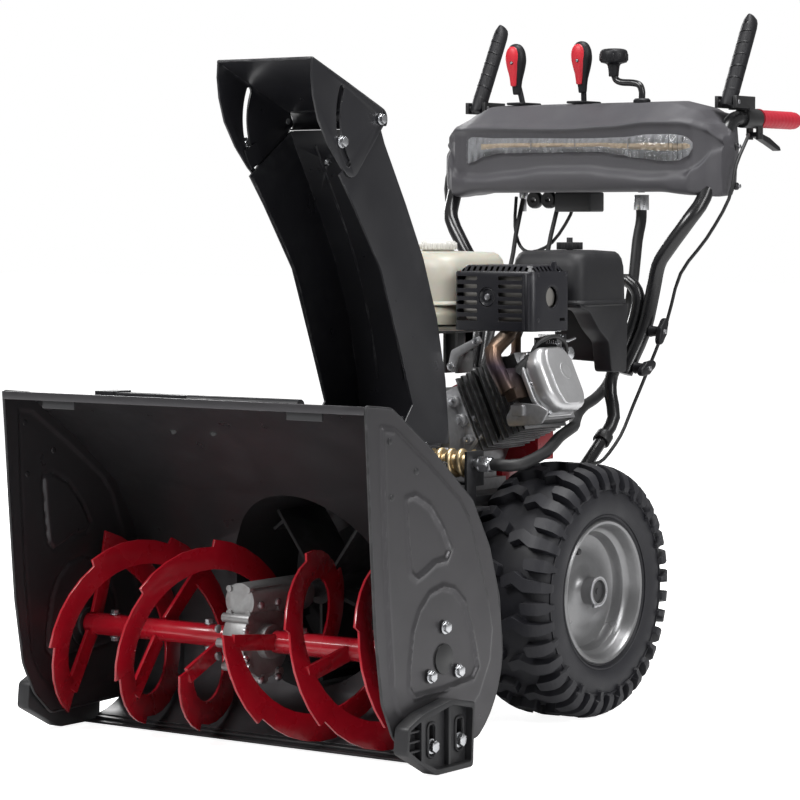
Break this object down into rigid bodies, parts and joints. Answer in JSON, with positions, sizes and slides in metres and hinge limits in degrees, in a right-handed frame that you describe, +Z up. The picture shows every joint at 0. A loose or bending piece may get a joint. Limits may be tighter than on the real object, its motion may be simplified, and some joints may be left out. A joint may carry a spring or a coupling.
{
  "type": "two stage snowblower",
  "caption": "Walk-behind two stage snow thrower: ribbon augers feed an impeller that throws snow up a turning chute, driven by an engine on two lugged wheels.",
  "frame": {"origin": "on the ground under the middle of the wheel axle", "axes": "+X to the right of a viewer who faces the machine from behind its auger housing, +Y from the housing towards the operator, +Z up"},
  "size_m": [0.758, 1.39, 1.1459],
  "materials": {
    "housing_paint": "satin",
    "black_steel": "satin",
    "shoe_plastic": "matte",
    "zinc": "satin",
    "bracket_black": "satin",
    "auger_red": "gloss",
    "shaft_steel": "satin",
    "cast_grey": "matte",
    "tyre_rubber": "matte",
    "rim_grey": "satin",
    "chute_black": "satin",
    "yellow_zinc": "satin",
    "sleeve_rubber": "satin",
    "engine_aluminium": "satin",
    "shroud_red": "gloss",
    "engine_plastic": "matte",
    "choke_red": "gloss",
    "tank_cream": "satin",
    "cap_white": "satin",
    "exhaust_steel": "matte",
    "guard_black": "satin",
    "tube_gloss_black": "gloss",
    "grip_red": "matte",
    "lever_plastic": "matte",
    "console_grey": "matte",
    "lens_clear": "clear"
  },
  "bodies": {
    "chassis": {"auger_housing": "housing_paint", "side_plate_right": "housing_paint", "side_plate_left": "housing_paint", "scraper_bar": "black_steel", "skid_shoe_right": "shoe_plastic", "skid_shoe_left": "shoe_plastic", "zinc_fittings": "zinc", "brackets": "bracket_black", "auger_gearbox": "cast_grey", "chassis": "black_steel", "worm_bracket": "black_steel", "chute_drive_shaft": "sleeve_rubber", "engine_block": "engine_aluminium", "valve_cover": "engine_aluminium", "blower_shroud": "shroud_red", "engine_covers": "engine_plastic", "fuel_tank": "tank_cream", "exhaust": "exhaust_steel", "muffler_guard": "guard_black", "air_filter_box": "engine_plastic", "handle_right": "tube_gloss_black", "handle_left": "tube_gloss_black", "lower_handle": "tube_gloss_black", "grips": "grip_red", "lever_brackets": "bracket_black", "console": "console_grey", "console_lens": "lens_clear", "control_cables": "sleeve_rubber"},
    "auger": {"auger_right": "auger_red", "auger_left": "auger_red", "auger_shaft": "shaft_steel"},
    "impeller": {"impeller": "black_steel", "impeller_shaft": "shaft_steel"},
    "crankshaft": {"crankshaft": "shaft_steel"},
    "wheel_right": {"tyre_right": "tyre_rubber", "rim_right": "rim_grey"},
    "wheel_left": {"tyre_left": "tyre_rubber", "rim_left": "rim_grey"},
    "chute": {"chute_ring": "chute_black", "chute_duct": "chute_black", "chute_bolts": "zinc"},
    "deflector": {"deflector": "chute_black"},
    "chute_worm": {"chute_worm": "yellow_zinc"},
    "recoil_handle": {"recoil_handle": "engine_plastic"},
    "fuel_cap": {"fuel_cap": "cap_white"},
    "air_filter_knob": {"air_filter_knob": "engine_plastic"},
    "throttle_lever": {"throttle_lever": "engine_plastic"},
    "choke_lever": {"choke_lever": "choke_red"},
    "clutch_lever_right": {"clutch_lever_right": "lever_plastic"},
    "clutch_lever_left": {"clutch_lever_left": "lever_plastic"},
    "trigger_right": {"trigger_right": "lever_plastic"},
    "trigger_left": {"trigger_left": "lever_plastic"},
    "speed_lever": {"speed_lever": "lever_plastic"},
    "deflector_lever": {"deflector_lever": "lever_plastic"},
    "chute_crank": {"chute_crank": "lever_plastic"},
    "knob_upper_right": {"knob_upper_right": "lever_plastic"},
    "knob_lower_right": {"knob_lower_right": "lever_plastic"},
    "knob_upper_left": {"knob_upper_left": "lever_plastic"},
    "knob_lower_left": {"knob_lower_left": "lever_plastic"},
    "clean_out_tool": {"clean_out_tool": "lever_plastic"}
  },
  "joints": [
    {"name": "auger_spin", "type": "hinge", "parent": "chassis", "child": "auger", "pos_m": [0, -0.51, 0.16], "axis": [1, 0, 0], "continuous": true},
    {"name": "impeller_spin", "type": "hinge", "parent": "chassis", "child": "impeller", "pos_m": [0, -0.3, 0.222], "axis": [0, 1, 0], "continuous": true},
    {"name": "crankshaft_spin", "type": "hinge", "parent": "chassis", "child": "crankshaft", "pos_m": [0, 0, 0.44], "axis": [0, 1, 0], "continuous": true},
    {"name": "wheel_right_spin", "type": "hinge", "parent": "chassis", "child": "wheel_right", "pos_m": [0.23, 0, 0.203], "axis": [1, 0, 0], "continuous": true},
    {"name": "wheel_left_spin", "type": "hinge", "parent": "chassis", "child": "wheel_left", "pos_m": [-0.23, 0, 0.203], "axis": [1, 0, 0], "continuous": true},
    {"name": "chute_turn", "type": "hinge", "parent": "chassis", "child": "chute", "pos_m": [0.07, -0.305, 0.405], "axis": [0, 0, 1], "range_deg": [-100, 100]},
    {"name": "deflector_tilt", "type": "hinge", "parent": "chute", "child": "deflector", "pos_m": [0.07, -0.408, 0.94], "axis": [1, 0, 0], "range_deg": [-20, 40]},
    {"name": "chute_worm_spin", "type": "hinge", "parent": "chassis", "child": "chute_worm", "pos_m": [0.08, -0.167, 0.411], "axis": [1, 0, 0], "range_deg": [-3600, 3600]},
    {"name": "chute_crank_turn", "type": "hinge", "parent": "chassis", "child": "chute_crank", "pos_m": [0.108, 0.42, 0.9], "axis": [0, 0, 1], "range_deg": [-3600, 3600]},
    {"name": "speed_lever_swing", "type": "hinge", "parent": "chassis", "child": "speed_lever", "pos_m": [-0.141, 0.43, 0.95], "axis": [1, 0, 0], "range_deg": [-20, 20]},
    {"name": "deflector_lever_swing", "type": "hinge", "parent": "chassis", "child": "deflector_lever", "pos_m": [-0.016, 0.43, 0.95], "axis": [1, 0, 0], "range_deg": [-20, 20]},
    {"name": "clutch_lever_right_squeeze", "type": "hinge", "parent": "chassis", "child": "clutch_lever_right", "pos_m": [0.257, 0.457, 0.991], "axis": [1, 0, 0], "range_deg": [-62, 0], "stiffness_Nm_per_rad": 0.5, "springref_deg": 28.65},
    {"name": "clutch_lever_left_squeeze", "type": "hinge", "parent": "chassis", "child": "clutch_lever_left", "pos_m": [-0.257, 0.457, 0.991], "axis": [1, 0, 0], "range_deg": [-62, 0], "stiffness_Nm_per_rad": 0.5, "springref_deg": 28.65},
    {"name": "trigger_right_squeeze", "type": "hinge", "parent": "chassis", "child": "trigger_right", "pos_m": [0.257, 0.548, 0.938], "axis": [1, 0, 0], "range_deg": [0, 12], "stiffness_Nm_per_rad": 0.2, "springref_deg": -17.19},
    {"name": "trigger_left_squeeze", "type": "hinge", "parent": "chassis", "child": "trigger_left", "pos_m": [-0.257, 0.548, 0.938], "axis": [1, 0, 0], "range_deg": [0, 12], "stiffness_Nm_per_rad": 0.2, "springref_deg": -17.19},
    {"name": "fuel_cap_turn", "type": "hinge", "parent": "chassis", "child": "fuel_cap", "pos_m": [-0.038, 0.02, 0.745], "axis": [0, 0, 1], "range_deg": [0, 90]},
    {"name": "air_filter_knob_turn", "type": "hinge", "parent": "chassis", "child": "air_filter_knob", "pos_m": [0.135, 0.15, 0.745], "axis": [0, 0, 1], "continuous": true},
    {"name": "recoil_pull", "type": "slide", "parent": "chassis", "child": "recoil_handle", "axis": [-1, 0, 0], "range_m": [0, 0.5], "stiffness_N_per_m": 20, "springref_m": -0.05},
    {"name": "throttle_swing", "type": "hinge", "parent": "chassis", "child": "throttle_lever", "pos_m": [0.17, 0.07, 0.574], "axis": [1, 0, 0], "range_deg": [0, 35]},
    {"name": "choke_swing", "type": "hinge", "parent": "chassis", "child": "choke_lever", "pos_m": [0.17, 0.068, 0.56], "axis": [1, 0, 0], "range_deg": [-35, 0]},
    {"name": "knob_upper_right_turn", "type": "hinge", "parent": "chassis", "child": "knob_upper_right", "pos_m": [0.19, 0.328, 0.604], "axis": [1, 0, 0], "continuous": true},
    {"name": "knob_lower_right_turn", "type": "hinge", "parent": "chassis", "child": "knob_lower_right", "pos_m": [0.18, 0.296, 0.543], "axis": [1, 0, 0], "continuous": true},
    {"name": "knob_upper_left_turn", "type": "hinge", "parent": "chassis", "child": "knob_upper_left", "pos_m": [-0.19, 0.328, 0.604], "axis": [1, 0, 0], "continuous": true},
    {"name": "knob_lower_left_turn", "type": "hinge", "parent": "chassis", "child": "knob_lower_left", "pos_m": [-0.18, 0.296, 0.543], "axis": [1, 0, 0], "continuous": true},
    {"name": "clean_out_tool_lift", "type": "slide", "parent": "chassis", "child": "clean_out_tool", "axis": [0, 0, 1], "range_m": [0, 0.12]}
  ],
  "couplings": [
    {"joint": "impeller_spin", "follows": "auger_spin", "ratio": 20},
    {"joint": "crankshaft_spin", "follows": "auger_spin", "ratio": 47.778},
    {"joint": "chute_worm_spin", "follows": "chute_turn", "ratio": 36},
    {"joint": "chute_crank_turn", "follows": "chute_turn", "ratio": 36},
    {"joint": "deflector_lever_swing", "follows": "deflector_tilt", "ratio": -0.4}
  ]
}
